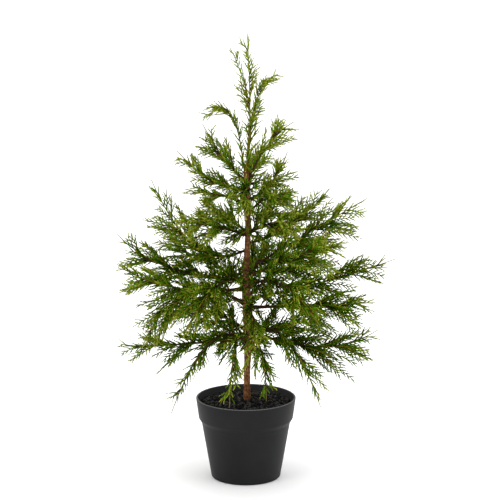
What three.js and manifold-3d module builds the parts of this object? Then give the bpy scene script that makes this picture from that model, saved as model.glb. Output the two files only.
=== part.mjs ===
// An artificial cedar in a charcoal nursery pot.
// Millimetres, +Z up. The origin lies under the middle of the pot, on the
// plane it stands on, and +X is to the right of someone facing the plant.

import * as THREE from 'three';
import { mergeVertices } from 'three/addons/utils/BufferGeometryUtils.js';
import Module from 'manifold-3d';

const wasm = await Module();
wasm.setup();
const { Manifold, Mesh } = wasm;

// Driving dimensions

const GAP = 0.3; // clearance between pieces that touch on the real plant
const WELD = 0.02; // details finer than this are smoothed away when solids are fused

const POT = {
  height: 112,
  footRadius: 47.3,
  bodyRadius: 60.8, // body just under the ledge
  bodyHeight: 78.2,
  ledgeRadius: 61.5,
  ledgeHeight: 79.2,
  bandRadius: 64.6,
  bandHeight: 83.6,
  lipRadius: 68.4,
  lipWidth: 2.6,
  wall: 2.2,
  edge: 1.6, // small bevels on the foot and lip
  segments: 32,
};

const FILLER = {
  wallHeight: 101.5, // level where the crumbs meet the pot
  crownHeight: 108, // level round the trunk
  padRadius: 8,
  shoulder: 0.6, // share of the width where most of the mound's rise is reached
  shoulderRise: 0.7,
  segments: 32,
};

const TRUNK = {
  foot: FILLER.crownHeight + GAP,
  top: 424,
  footRadius: 4.5,
  topRadius: 3.6,
  flareRadius: 1.6,
  flareHeight: 7,
  bundleRadius: 1.9, // extra girth where the boughs are wired on
  bundleHeight: 236,
  bundleReach: 62,
  footX: 1.7, // the foot stands a little to the right of the pot's middle
  wobbleX: { size: 1.2, from: 150, period: 163 },
  wobbleY: { size: 1.5, from: 60, period: 258 },
  straightFoot: 60, // height of the stretch in which the wobble starts
  sides: 12,
  steps: 14,
};

const BOUGH = { rootRadius: 2.5, tipRadius: 1.9, sides: 6, steps: 2 };
const STEM_TIP_RADIUS = 0.55;
const TOP_RING = 2.3; // the four top stems stand side by side on this ring
const TOP_STEM_RADIUS = 1.25;
const TOP_TURN = { first: 90, step: 90 };

// Twigs of a spray are toothed blades

const TWIG = {
  rootRadius: 1.15,
  tipRadius: 0.5,
  neck: 9, // bare length next to the stem
  pitch: 13, // length of blade that carries one pair of teeth
  lastStretch: 0.6, // the toothless point of a blade, as a share of the pitch
  tooth: 17.5,
  toothAngle: 44,
  shortest: 20,
  roomShare: 0.66, // twigs shorten towards the tip of their stem
  roomSpare: 6,
  droop: 0.18,
  pull: 0.12, // how far a twig swings back towards the line of its stem
  spread: 30, // least angle between a twig and its stem
  spreadRange: 12,
  turn: 137.5, // turn from one twig to the next round the stem
  turnRange: 50,
  firstPlace: 0.35, // place of the first twig, in steps between twigs
  stemShare: 0.9, // share of the leafy stem that carries twigs
  leastSize: 0.86, // twigs vary in length from this share of their room
  sizeRange: 0.24,
  checks: 14, // places along a twig where its room is tested
};

// Counters that keep the random numbers of a twig apart
const COUNTER = { angle: 50, size: 100, flat: 150 };

const SPACE_MARGIN = 0.8; // half the least room between two masses
const LIMB_MARGIN = 1; // room between leaves and bare wood
const POT_MARGIN = 3; // room between leaves and the pot or its crumbs
const TOOTH_MARGIN = 0.2;
const TOOTH_SHARES = [1, 0.8, 0.6, 0.42]; // sizes tried for a tooth in turn
const TOOTH_CHECKS = [0.5, 0.75, 1]; // places tested along a tooth
const TOOTH_ROOT = 0.3; // middle of a tooth's root, as a share of the pitch
const TOOTH_TAPER = 0.45; // teeth lose this share of their size towards the tip
const AXIS_STEPS = 12;
const TOOTHED_TIP = 52; // length of toothed blade at the end of a main stem
const BARE_STEP = 24; // length of one piece of bare stem
const RIB_UNDERSIDE = 0.5; // depth of a blade's underside, as a share of its radius
const AHEAD = 0.5; // distance before and behind a section that gives its direction

// One row for each mass of foliage. A mass hangs on one main stem that leaves
// the trunk at height `at` and azimuth `turn` (0 is +X, 90 is +Y), and ends
// `reach` mm out at height `tip`. `arch` lifts the middle of the stem and
// `bow` pushes it outward. `held` is how the stem is carried: on a bare bough,
// straight from the trunk's side, or on the trunk's top.

const COLUMNS = ['name', 'held', 'at', 'turn', 'reach', 'tip', 'arch', 'bow', 'twigs', 'longest'];

const ROWS = [
  ['leader_side', 'top', 424, 180, 22, 590, 7, -15, 4, 22],
  ['leader_left', 'top', 424, 188, 51, 493, 45, -6, 4, 19],
  ['leader_right', 'top', 424, -8, 44, 554, 32, -9, 6, 24],
  ['high_right_front', 'trunk', 338, 306, 112, 368, 10, 0, 6, 50],
  ['upper_left', 'trunk', 412, 166, 60, 485, -9, 0, 4, 52],
  ['wide_right', 'bough', 290, 2, 159, 385, 0, 0, 8, 66],
  ['upper_right_low', 'trunk', 386, -12, 54, 451, -12, 3, 5, 36],
  ['middle_back_right', 'bough', 252, 44, 178, 302, 8, -5, 7, 64],
  ['upper_back', 'trunk', 400, 80, 83, 448, 0, 0, 4, 44],
  ['hanging_right', 'trunk', 184, 295, 58, 124, 34, 13, 4, 22],
  ['middle_right_low', 'bough', 238, -18, 176, 257, 0, 8, 8, 62],
  ['middle_right', 'bough', 250, 3, 197, 301, -5, 0, 6, 58],
  ['high_right', 'trunk', 326, 12, 113, 396, -14, 0, 7, 52],
  ['low_back', 'trunk', 188, 114, 150, 172, 22, 0, 4, 58],
  ['low_left_front', 'bough', 187, 214, 121, 114, 47, 0, 4, 21],
  ['middle_left_low', 'bough', 240, 190, 142, 192, 46, 8, 8, 62],
  ['wide_left_front', 'bough', 264, 200, 179, 309, -13, 13, 7, 56],
  ['low_back_right', 'trunk', 196, 44, 152, 188, 10, 0, 6, 66],
  ['front_centre', 'trunk', 230, 276, 112, 170, 42, 0, 5, 32],
  ['upper_right_side', 'trunk', 366, -36, 78, 398, 10, -5, 4, 40],
  ['front_left', 'bough', 272, 242, 164, 240, 28, 0, 7, 58],
  ['middle_back_left', 'bough', 268, 142, 165, 306, 9, -5, 5, 56],
  ['front_right', 'bough', 262, 304, 165, 250, 30, -5, 6, 56],
  ['high_back_left', 'trunk', 342, 132, 100, 373, 0, 0, 5, 48],
  ['middle_back', 'bough', 256, 80, 180, 290, 14, 0, 6, 58],
  ['low_right', 'bough', 207, -2, 174, 206, -23, 8, 7, 60],
  ['upper_front', 'trunk', 392, 264, 76, 378, 18, 0, 4, 40],
  ['high_left', 'trunk', 318, 178, 127, 408, -44, 3, 7, 74],
  ['low_back_left', 'bough', 204, 134, 170, 216, 10, -5, 7, 54],
  ['high_back_right', 'trunk', 334, 60, 116, 384, 7, 0, 6, 52],
  ['wide_left', 'bough', 277, 174, 174, 333, -17, 11, 7, 54],
  ['upper_right', 'trunk', 408, -2, 62, 491, 9, -4, 5, 48],
  ['upper_left_low', 'trunk', 398, 190, 93, 453, -13, 0, 5, 42],
  ['low_right_front', 'bough', 192, 331, 109, 119, 48, 0, 4, 34],
  ['hanging_left', 'trunk', 200, 248, 66, 118, 34, 10, 4, 24],
  ['wide_right_front', 'bough', 280, -30, 152, 342, 4, 0, 6, 66],
  ['low_left', 'bough', 197, 178, 177, 182, -4, 0, 6, 42],
  ['high_left_front', 'trunk', 336, 222, 120, 370, 5, 0, 7, 52],
  ['upper_left_side', 'trunk', 372, 198, 88, 399, 8, -10, 4, 26],
  ['leader', 'top', 424, 180, 1, 609, 0, -3, 5, 23],
];

const SPRAYS = ROWS.map((row) => Object.fromEntries(COLUMNS.map((column, i) => [column, row[i]])));

// Part of each stem's line that is bare bough, or that lies beside the trunk
const BARE_SHARE = { top: 0.04, trunk: 0.13, bough: 0.2 };

const PLASTIC_GREEN = { color: 0x41500f, roughness: 0.62, metalness: 0 };
const BARK_BROWN = { color: 0x5c3a25, roughness: 0.85, metalness: 0 };
const POT_CHARCOAL = { color: 0x2e2e30, roughness: 0.7, metalness: 0 };
const CRUMB_BLACK = { color: 0x1f1c1a, roughness: 0.95, metalness: 0 };

// Numbers and vectors

const UP = new THREE.Vector3(0, 0, 1);
const radians = THREE.MathUtils.degToRad;
const SMALL_STEP = 0.01; // step along a line, as a share of it, for its direction

// Repeatable number from 0 to 1 for a seed and a counter
function noise(seed, k) {
  const x = Math.sin(seed * 127.1 + k * 311.7) * 43758.5453;
  return x - Math.floor(x);
}

function mix(a, b, t) {
  return a + (b - a) * t;
}

function distanceToSegment(point, a, b) {
  const ab = b.clone().sub(a);
  const t = THREE.MathUtils.clamp(point.clone().sub(a).dot(ab) / ab.lengthSq(), 0, 1);
  return point.distanceTo(a.clone().addScaledVector(ab, t));
}

// Solids

function plainGeometry(geometry) {
  geometry.deleteAttribute('normal');
  geometry.deleteAttribute('uv');
  return mergeVertices(geometry, 1e-4);
}

function toSolid(geometry) {
  return new Manifold(new Mesh({
    numProp: 3,
    vertProperties: Float32Array.from(geometry.attributes.position.array),
    triVerts: Uint32Array.from(geometry.index.array),
  }));
}

function toGeometry(solid) {
  const { vertProperties, triVerts } = solid.getMesh();
  const geometry = new THREE.BufferGeometry();
  geometry.setAttribute('position', new THREE.BufferAttribute(vertProperties, 3));
  geometry.setIndex(new THREE.BufferAttribute(triVerts, 1));
  return geometry;
}

// The largest closed skin of a solid, which leaves out scraps and sealed hollows
function mainBody(solid) {
  const bodies = solid.decompose();
  bodies.sort((a, b) => b.volume() - a.volume());
  return bodies[0];
}

function lathe(profile, segments) {
  const points = profile.map(([radius, z]) => new THREE.Vector2(radius, z));
  const geometry = new THREE.LatheGeometry(points, segments);
  geometry.rotateX(Math.PI / 2);
  return plainGeometry(geometry);
}

// A closed round bar whose axis, radius and sideways direction are functions
function limb(centreAt, radiusAt, sideways, sides, steps) {
  const geometry = plainGeometry(new THREE.CylinderGeometry(1, 1, 1, sides, steps));
  const position = geometry.attributes.position;
  for (let i = 0; i < position.count; i += 1) {
    const t = position.getY(i) + 0.5;
    const ahead = centreAt(t + SMALL_STEP).sub(centreAt(t - SMALL_STEP)).normalize();
    const above = ahead.clone().cross(sideways).normalize();
    const place = centreAt(t);
    place.addScaledVector(sideways, position.getX(i) * radiusAt(t));
    place.addScaledVector(above, -position.getZ(i) * radiusAt(t));
    position.setXYZ(i, place.x, place.y, place.z);
  }
  return geometry;
}

// Trunk

function trunkCentre(z) {
  const start = Math.min(1, (z - TRUNK.foot) / TRUNK.straightFoot);
  const wave = ({ size, from, period }) => size * Math.sin((2 * Math.PI * (z - from)) / period);
  return new THREE.Vector3(TRUNK.footX + wave(TRUNK.wobbleX) * start, wave(TRUNK.wobbleY), z);
}

function trunkRadius(z) {
  const taper = mix(TRUNK.footRadius, TRUNK.topRadius, (z - TRUNK.foot) / (TRUNK.top - TRUNK.foot));
  const flare = TRUNK.flareRadius * Math.exp(-(z - TRUNK.foot) / TRUNK.flareHeight);
  const fromBundle = (z - TRUNK.bundleHeight) / TRUNK.bundleReach;
  return taper + flare + TRUNK.bundleRadius * Math.exp(-(fromBundle ** 4));
}

function trunkGeometry(extra) {
  const heightAt = (t) => mix(TRUNK.foot - extra, TRUNK.top + extra, t);
  const east = new THREE.Vector3(1, 0, 0);
  const centreAt = (t) => trunkCentre(heightAt(t));
  const radiusAt = (t) => trunkRadius(heightAt(t)) + extra;
  const geometry = limb(centreAt, radiusAt, east, TRUNK.sides, TRUNK.steps);
  flattenEnd(geometry, TRUNK.foot - extra);
  flattenEnd(geometry, TRUNK.top + extra);
  return geometry;
}

// Puts the ring of vertices round one end of an upright limb at one height
function flattenEnd(geometry, height) {
  const position = geometry.attributes.position;
  for (let i = 0; i < position.count; i += 1) {
    if (Math.abs(position.getZ(i) - height) < TRUNK.footRadius / 2) {
      position.setZ(i, height);
    }
  }
}

// Main stems

function outward(spray) {
  return new THREE.Vector3(Math.cos(radians(spray.turn)), Math.sin(radians(spray.turn)), 0);
}

function stemSideways(spray) {
  return UP.clone().cross(outward(spray));
}

// Point on the whole line of a spray: its bough first, then its stem
function stemPoint(spray, t) {
  const start = trunkCentre(spray.at);
  if (spray.held === 'top') {
    const onRing = radians(TOP_TURN.first + TOP_TURN.step * SPRAYS.indexOf(spray));
    start.x += TOP_RING * Math.cos(onRing);
    start.y += TOP_RING * Math.sin(onRing);
    start.z += GAP;
  }
  const hump = 4 * t * (1 - t);
  start.addScaledVector(outward(spray), spray.reach * t + spray.bow * hump);
  start.z += (spray.tip - spray.at) * t + spray.arch * hump;
  return start;
}

function stemDirection(spray, t) {
  return stemPoint(spray, t + SMALL_STEP).sub(stemPoint(spray, t - SMALL_STEP)).normalize();
}

function stemLength(spray, from, to) {
  let length = 0;
  for (let i = 0; i < AXIS_STEPS; i += 1) {
    const a = stemPoint(spray, mix(from, to, i / AXIS_STEPS));
    const b = stemPoint(spray, mix(from, to, (i + 1) / AXIS_STEPS));
    length += a.distanceTo(b);
  }
  return length;
}

// Where the leafy part of a spray begins on its line
function leafyStart(spray) {
  return BARE_SHARE[spray.held];
}

function polyline(spray, from, to) {
  const points = [];
  for (let i = 0; i <= AXIS_STEPS; i += 1) {
    points.push(stemPoint(spray, mix(from, to, i / AXIS_STEPS)));
  }
  return points;
}

// Room for each mass

const AXES = SPRAYS.map((spray) => polyline(spray, leafyStart(spray), 1));

function distanceToAxis(point, axis) {
  let nearest = Infinity;
  for (let i = 0; i < axis.length - 1; i += 1) {
    nearest = Math.min(nearest, distanceToSegment(point, axis[i], axis[i + 1]));
  }
  return nearest;
}

// A mass owns the points that lie nearer to its own stem than to any other
function inOwnSpace(point, index) {
  const own = distanceToAxis(point, AXES[index]) + SPACE_MARGIN;
  return AXES.every((axis, other) => other === index || own < distanceToAxis(point, axis));
}

const BARE_LINES = SPRAYS.filter((spray) => spray.held !== 'top')
  .map((spray) => polyline(spray, 0, leafyStart(spray)));

function clearOfLimbs(point, extra) {
  if (point.z < TRUNK.top + LIMB_MARGIN) {
    const fromTrunk = Math.hypot(point.x - trunkCentre(point.z).x, point.y - trunkCentre(point.z).y);
    if (fromTrunk < trunkRadius(point.z) + LIMB_MARGIN + extra) {
      return false;
    }
  }
  const room = BOUGH.rootRadius + LIMB_MARGIN + extra;
  return BARE_LINES.every((line) => distanceToAxis(point, line) > room);
}

function clearOfPot(point) {
  const radius = Math.hypot(point.x, point.y);
  const overCrumbs = radius < POT.lipRadius - POT.lipWidth - POT_MARGIN;
  const floor = overCrumbs ? FILLER.crownHeight : POT.height;
  return point.z > floor + POT_MARGIN;
}

function hasRoom(point, index, extra) {
  return clearOfPot(point) && clearOfLimbs(point, extra) && inOwnSpace(point, index);
}

// Toothed blades

// A blade is a three-edged rib along `sections`, with a flat underside and one
// tooth on each side of every stretch that has any. The last point is its tip.
function bladeGeometry(sections, teeth, tip) {
  const vertices = [];
  const triangles = [];
  const add = (point) => {
    vertices.push(point.x, point.y, point.z);
    return vertices.length / 3 - 1;
  };
  const rings = sections.map(({ centre, side, above, radius }) => ({
    left: add(centre.clone().addScaledVector(side, radius).addScaledVector(above, -radius * RIB_UNDERSIDE)),
    right: add(centre.clone().addScaledVector(side, -radius).addScaledVector(above, -radius * RIB_UNDERSIDE)),
    ridge: add(centre.clone().addScaledVector(above, radius)),
  }));
  const end = add(tip);
  rings.forEach((ring, j) => {
    const next = rings[j + 1] ?? { left: end, right: end, ridge: end };
    const last = j === rings.length - 1;
    for (const edge of ['left', 'right']) {
      const flip = edge === 'right';
      const face = (a, b, c) => triangles.push(...(flip ? [a, c, b] : [a, b, c]));
      const point = teeth[j]?.[edge];
      if (point) {
        const tooth = add(point);
        face(ring.ridge, tooth, ring[edge]);
        face(ring.ridge, next[edge], tooth);
        face(ring[edge], tooth, next[edge]);
      } else {
        face(ring.ridge, next[edge], ring[edge]);
      }
      if (!last) {
        face(ring.ridge, next.ridge, next[edge]);
      }
    }
    triangles.push(ring.right, ring.left, next.left);
    if (!last) {
      triangles.push(ring.right, next.left, next.right);
    }
  });
  triangles.push(rings[0].left, rings[0].right, rings[0].ridge);
  const geometry = new THREE.BufferGeometry();
  geometry.setAttribute('position', new THREE.BufferAttribute(new Float32Array(vertices), 3));
  geometry.setIndex(triangles);
  return geometry;
}

// The longest of a few lengths for which a tooth keeps to its mass's own room
function toothPoint(base, direction, length, index) {
  for (const share of TOOTH_SHARES) {
    const samples = TOOTH_CHECKS.map((part) => (
      base.clone().addScaledVector(direction, length * share * part)));
    if (samples.every((point) => hasRoom(point, index, TOOTH_MARGIN))) {
      return samples.at(-1);
    }
  }
  return null;
}

// Blade along a path given by its distance from the root, toothed from `bare` on
function blade(pathAt, length, bare, side0, radiusAt, index) {
  const stretches = Math.max(2, Math.round((length - bare) / TWIG.pitch));
  const bareSteps = Math.max(1, Math.round(bare / BARE_STEP));
  const marks = [];
  for (let i = 0; i < bareSteps; i += 1) {
    marks.push((bare * i) / bareSteps);
  }
  for (let i = 0; i < stretches; i += 1) {
    marks.push(mix(bare, length, i / (stretches - 1 + TWIG.lastStretch)));
  }
  const sections = marks.map((q) => {
    const ahead = pathAt(q + AHEAD).sub(pathAt(Math.max(0, q - AHEAD))).normalize();
    const side = side0.clone().addScaledVector(ahead, -side0.dot(ahead)).normalize();
    return { centre: pathAt(q), side, above: ahead.clone().cross(side), radius: radiusAt(q), ahead };
  });
  const teeth = sections.map(({ side, ahead }, j) => {
    if (j < bareSteps || j === sections.length - 1) {
      return {};
    }
    const base = pathAt(marks[j] + TWIG.pitch * TOOTH_ROOT);
    const size = TWIG.tooth * (1 - TOOTH_TAPER * (marks[j] / length) ** 2);
    const directions = [side, side.clone().negate()].map((way) => ahead.clone()
      .multiplyScalar(Math.cos(radians(TWIG.toothAngle)))
      .addScaledVector(way, Math.sin(radians(TWIG.toothAngle))));
    return {
      left: toothPoint(base, directions[0], size, index),
      right: toothPoint(base, directions[1], size, index),
    };
  });
  return toSolid(bladeGeometry(sections, teeth, pathAt(length)));
}

// Masses of foliage

function stemRootRadius(spray) {
  return spray.held === 'top' ? TOP_STEM_RADIUS : BOUGH.tipRadius;
}

function stemBlade(spray, index) {
  const from = spray.held === 'bough' ? leafyStart(spray) : 0;
  const whole = stemLength(spray, from, 1);
  const gap = spray.held === 'bough' ? GAP : 0;
  const length = whole - gap;
  const pathAt = (q) => stemPoint(spray, mix(from, 1, (q + gap) / whole));
  const radiusAt = (q) => mix(stemRootRadius(spray), STEM_TIP_RADIUS, q / length);
  return blade(pathAt, length, length - TOOTHED_TIP, stemSideways(spray), radiusAt, index);
}

// Path of one twig, curving a little along its stem and down, or null
function twigPath(spray, index, k) {
  const seed = index + 1;
  const u = ((k + TWIG.firstPlace) / spray.twigs) * TWIG.stemShare;
  const t = mix(leafyStart(spray), 1, u);
  const root = stemPoint(spray, t);
  const along = stemDirection(spray, t);
  const side = stemSideways(spray);
  const above = along.clone().cross(side);
  const roll = radians(k * TWIG.turn + noise(seed, k) * TWIG.turnRange);
  const away = side.multiplyScalar(Math.cos(roll)).addScaledVector(above, Math.sin(roll));
  const angle = radians(TWIG.spread + TWIG.spreadRange * noise(seed, k + COUNTER.angle));
  const heading = along.clone().multiplyScalar(Math.cos(angle)).addScaledVector(away, Math.sin(angle));
  const left = stemLength(spray, t, 1);
  const room = left * TWIG.roomShare + TWIG.roomSpare;
  const size = TWIG.leastSize + TWIG.sizeRange * noise(seed, k + COUNTER.size);
  const wanted = Math.min(spray.longest, room) * size;
  const pathAt = (q) => root.clone()
    .addScaledVector(heading, q)
    .addScaledVector(along, (TWIG.pull * q * q) / wanted)
    .addScaledVector(UP, (-TWIG.droop * q * q) / wanted);
  let length = 0;
  for (let i = 2; i <= TWIG.checks; i += 1) {
    const q = (wanted * i) / TWIG.checks;
    if (!hasRoom(pathAt(q), index, TWIG.rootRadius)) {
      break;
    }
    length = q;
  }
  const flat = radians(180 * noise(seed, k + COUNTER.flat));
  const across = away.clone().cross(heading).normalize();
  const bladeSide = across.clone().multiplyScalar(Math.cos(flat))
    .addScaledVector(heading.clone().cross(across), Math.sin(flat));
  return length < TWIG.shortest ? null : { pathAt, length, bladeSide };
}

function twigBlade(spray, index, k) {
  const path = twigPath(spray, index, k);
  if (!path) {
    return null;
  }
  const radiusAt = (q) => mix(TWIG.rootRadius, TWIG.tipRadius, q / path.length);
  return blade(path.pathAt, path.length, TWIG.neck, path.bladeSide, radiusAt, index);
}

const trunkRoom = toSolid(trunkGeometry(GAP));

function massSolid(spray, index) {
  const parts = [stemBlade(spray, index)];
  for (let k = 0; k < spray.twigs; k += 1) {
    const twig = twigBlade(spray, index, k);
    if (twig) {
      parts.push(twig);
    }
  }
  const whole = Manifold.union(parts);
  const mass = spray.held === 'trunk' ? whole.subtract(trunkRoom) : whole;
  return mainBody(mass.simplify(WELD));
}

function boughSolid(spray) {
  const end = leafyStart(spray);
  const centreAt = (t) => stemPoint(spray, end * t);
  const radiusAt = (t) => mix(BOUGH.rootRadius, BOUGH.tipRadius, t);
  const bar = limb(centreAt, radiusAt, stemSideways(spray), BOUGH.sides, BOUGH.steps);
  return mainBody(toSolid(bar).subtract(trunkRoom));
}

// Pot and filler

function potGeometry() {
  const p = POT;
  const profile = [
    [0, 0],
    [p.footRadius - p.edge, 0],
    [p.footRadius, p.edge],
    [p.bodyRadius, p.bodyHeight],
    [p.ledgeRadius, p.ledgeHeight],
    [p.bandRadius, p.bandHeight],
    [p.lipRadius, p.height - p.edge],
    [p.lipRadius - p.edge / 2, p.height],
    [p.lipRadius - p.lipWidth, p.height],
    [p.bandRadius - p.wall, p.bandHeight],
    [p.bodyRadius - p.wall, p.bodyHeight],
    [p.footRadius - p.wall, p.wall],
    [0, p.wall],
  ];
  return lathe(profile, p.segments);
}

// Radius of the pot's inner wall at a height above its floor
function potInside(z) {
  const { footRadius, bodyRadius, bandRadius, wall, bodyHeight, bandHeight } = POT;
  if (z < bodyHeight) {
    return mix(footRadius, bodyRadius, (z - wall) / (bodyHeight - wall)) - wall;
  }
  if (z < bandHeight) {
    return mix(bodyRadius, bandRadius, (z - bodyHeight) / (bandHeight - bodyHeight)) - wall;
  }
  const rise = (z - bandHeight) / (POT.height - bandHeight);
  return mix(bandRadius - wall, POT.lipRadius - POT.lipWidth, rise);
}

function fillerGeometry() {
  const floor = POT.wall + GAP;
  const edge = (z) => [potInside(z) - GAP / Math.cos(Math.PI / FILLER.segments) - GAP / 4, z];
  const rim = edge(FILLER.wallHeight);
  const profile = [
    [0, floor],
    edge(floor),
    edge(POT.bodyHeight),
    edge(POT.bandHeight),
    rim,
    [rim[0] * FILLER.shoulder, mix(FILLER.wallHeight, FILLER.crownHeight, FILLER.shoulderRise)],
    [FILLER.padRadius, FILLER.crownHeight],
    [0, FILLER.crownHeight],
  ];
  return lathe(profile, FILLER.segments);
}

// Whole plant

const plant = new THREE.Group();
plant.name = 'potted_artificial_cedar';

function addPiece(name, geometry, look) {
  const flat = geometry.toNonIndexed();
  flat.computeVertexNormals();
  const piece = new THREE.Mesh(flat, new THREE.MeshStandardMaterial(look));
  piece.name = name;
  plant.add(piece);
}

addPiece('pot', potGeometry(), POT_CHARCOAL);
addPiece('filler', fillerGeometry(), CRUMB_BLACK);
addPiece('trunk', trunkGeometry(0), BARK_BROWN);
SPRAYS.forEach((spray, index) => {
  if (spray.held === 'bough') {
    addPiece(`bough_${spray.name}`, toGeometry(boughSolid(spray)), BARK_BROWN);
  }
  addPiece(`foliage_${spray.name}`, toGeometry(massSolid(spray, index)), PLASTIC_GREEN);
});

export default plant;
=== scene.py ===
# %% [markdown]
# # A potted artificial cedar
#
# The object is a little plastic cedar, about 609 mm high with its pot. It has four
# kinds of surface: matte moulded plastic (the pot), loose dark crumbs (the filling),
# a brown wrapped trunk with wire boughs, and thousands of thin moulded leaves.
# The CAD model gives every place and size. This script keeps them and adds the looks.

# %% Load the frame and the tools
import collections
import math

import bpy
import numpy as np
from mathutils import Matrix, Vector
from mathutils import noise as smooth_noise


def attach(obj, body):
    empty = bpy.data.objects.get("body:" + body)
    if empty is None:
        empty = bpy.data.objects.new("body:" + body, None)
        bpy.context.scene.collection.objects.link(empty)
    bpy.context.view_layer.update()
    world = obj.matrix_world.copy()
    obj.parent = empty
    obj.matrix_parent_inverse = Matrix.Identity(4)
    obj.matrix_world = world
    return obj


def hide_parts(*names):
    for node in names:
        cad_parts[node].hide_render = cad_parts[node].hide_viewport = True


MM = 0.001  # the sizes below are in millimetres, as in the CAD source

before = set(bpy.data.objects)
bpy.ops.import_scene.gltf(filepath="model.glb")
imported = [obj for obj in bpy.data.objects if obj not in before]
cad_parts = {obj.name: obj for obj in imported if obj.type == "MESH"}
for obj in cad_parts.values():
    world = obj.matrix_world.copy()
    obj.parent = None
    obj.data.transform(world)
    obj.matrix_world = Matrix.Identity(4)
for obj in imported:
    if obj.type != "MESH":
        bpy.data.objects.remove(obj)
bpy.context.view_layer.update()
print(len(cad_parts), "nodes")

# %% [markdown]
# ## The camera
#
# The photographer stood in front of the plant and a little above it, with a long lens,
# so the rim of the pot reads as a flat oval and the trunk stays straight. The place and
# the lens come from fitting the pot's oval rim and the height of the plant.

# %% Set the camera
CAMERA_PLACE = (0.0056, -2.6, 0.84)
CAMERA_PITCH = 11.37  # degrees below the horizon
LENS = 141.34
SENSOR = 36

looking_down = math.radians(90 - CAMERA_PITCH)
bpy.ops.object.camera_add(location=CAMERA_PLACE, rotation=(looking_down, 0, 0))
camera = bpy.context.object
camera.data.lens = LENS
camera.data.sensor_width = SENSOR
camera.data.clip_end = 80
bpy.context.scene.camera = camera
print("camera at", CAMERA_PLACE, "lens", LENS)

# %% [markdown]
# ## Shader maths that reads like arithmetic
#
# A finish is a material with nodes. Linking nodes by hand is long-winded, so a small
# class wraps an output socket: each sum, difference or product adds a Math node.

# %% A helper for finishes


class Flow:
    """An output socket that can be used in arithmetic."""

    def __init__(self, finish, socket):
        self.finish = finish
        self.socket = socket

    def join(self, operation, first, second):
        settings = {"operation": operation}
        return self.finish.node("ShaderNodeMath", settings, {0: first, 1: second})

    def __add__(self, other):
        return self.join("ADD", self, other)

    def __radd__(self, other):
        return self.join("ADD", other, self)

    def __sub__(self, other):
        return self.join("SUBTRACT", self, other)

    def __rsub__(self, other):
        return self.join("SUBTRACT", other, self)

    def __mul__(self, other):
        return self.join("MULTIPLY", self, other)

    def __rmul__(self, other):
        return self.join("MULTIPLY", other, self)


class Finish:
    """A material with a Principled shader, and a way to add nodes to it."""

    def __init__(self, name, **sockets):
        self.material = bpy.data.materials.new(name)
        self.material.use_nodes = True
        self.tree = self.material.node_tree
        self.shader = self.tree.nodes["Principled BSDF"]
        for socket, value in sockets.items():
            self.feed(self.shader, socket.replace("_", " "), value)

    def feed(self, node, socket, value):
        if isinstance(value, Flow):
            self.tree.links.new(value.socket, node.inputs[socket])
        else:
            node.inputs[socket].default_value = value

    def node(self, kind, settings, sockets, output=0):
        node = self.tree.nodes.new(kind)
        for setting, value in settings.items():
            if setting == "stops":
                self.set_stops(node.color_ramp, value)
            else:
                setattr(node, setting, value)
        for socket, value in sockets.items():
            self.feed(node, socket, value)
        return Flow(self, node.outputs[output])

    def set_stops(self, ramp, stops):
        for stop, (place, colour) in zip(ramp.elements, stops):
            stop.position = place
            stop.color = colour
        for place, colour in stops[len(ramp.elements):]:
            ramp.elements.new(place).color = colour

    def wear(self, socket, value):
        self.feed(self.shader, socket, value)

    def grain(self, scale, detail=3.0, stretch=(1, 1, 1)):
        """Noise on the object's own coordinates, with `scale` features to the metre."""
        own = self.node("ShaderNodeTexCoord", {}, {}, "Object")
        mapped = self.node("ShaderNodeMapping", {}, {"Vector": own, "Scale": stretch})
        sockets = {"Vector": mapped, "Scale": scale, "Detail": detail}
        return self.node("ShaderNodeTexNoise", {}, sockets)

    def place(self, axis):
        """Place along an axis, X, Y or Z, in metres from the middle of the pot's foot."""
        own = self.node("ShaderNodeTexCoord", {}, {}, "Object")
        return self.node("ShaderNodeSeparateXYZ", {}, {0: own}, axis)

    def colours(self, mask, stops):
        """Colours along a mask from 0 to 1."""
        return self.node("ShaderNodeValToRGB", {"stops": stops}, {0: mask})

    def mask(self, value, ends):
        """Black up to the first end, and white from the second."""
        return self.colours(value, [(ends[0], BLACK), (ends[1], WHITE)])

    def mixed(self, share, first, second):
        """The first colour where the share is 0, and the second where it is 1."""
        sockets = {"Factor": share, "A": first, "B": second}
        return self.node("ShaderNodeMix", {"data_type": "RGBA"}, sockets, "Result")

    def bumps(self, height, distance, strength=1.0):
        sockets = {"Height": height, "Distance": distance, "Strength": strength}
        self.wear("Normal", self.node("ShaderNodeBump", {}, sockets))


def paint(red, green, blue):
    """A colour from 0 to 255, turned into the linear one that shaders use."""
    values = [channel / 255 for channel in (red, green, blue)]
    linear = [v / 12.92 if v < 0.04045 else ((v + 0.055) / 1.055) ** 2.4 for v in values]
    return (*linear, 1.0)


BLACK, WHITE = paint(0, 0, 0), paint(255, 255, 255)
print("a mid grey in linear light:", round(paint(128, 128, 128)[0], 3))

# %% [markdown]
# ## The studio
#
# The plant stood on a seamless white sweep, with only a faint shadow where the pot
# meets the floor. A wide white floor under a white sky gives the same. Two big soft
# lights at the sides give the glow along the pot's edges, and a wide one overhead
# models the boughs. The plain view transform keeps white as white.

# %% Floor, sky and lights
FLOOR_SIZE = 90
FLOOR_DROP = 0.2 * MM  # a hair under the pot, so the two never flicker
FLOOR_WHITE = paint(246, 246, 246)
SKY_STRENGTH = 0.8
LIGHTS = [  # name, place, size, power, colour
    ("left_light", (-2.2, -1.6, 1.5), 1.6, 20, (1.0, 0.965, 0.92)),
    ("right_light", (2.3, -1.3, 1.5), 1.6, 17, (0.92, 0.955, 1.0)),
]
AIM = Vector((0, 0, 0.3))
OVERHEAD_PLACE = (0.2, 0.25, 3.0)
OVERHEAD_STRENGTH = 2.3
OVERHEAD_SPREAD = 80  # degrees: a wide light, so its shadows are soft

bpy.context.scene.view_settings.view_transform = "Standard"

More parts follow.
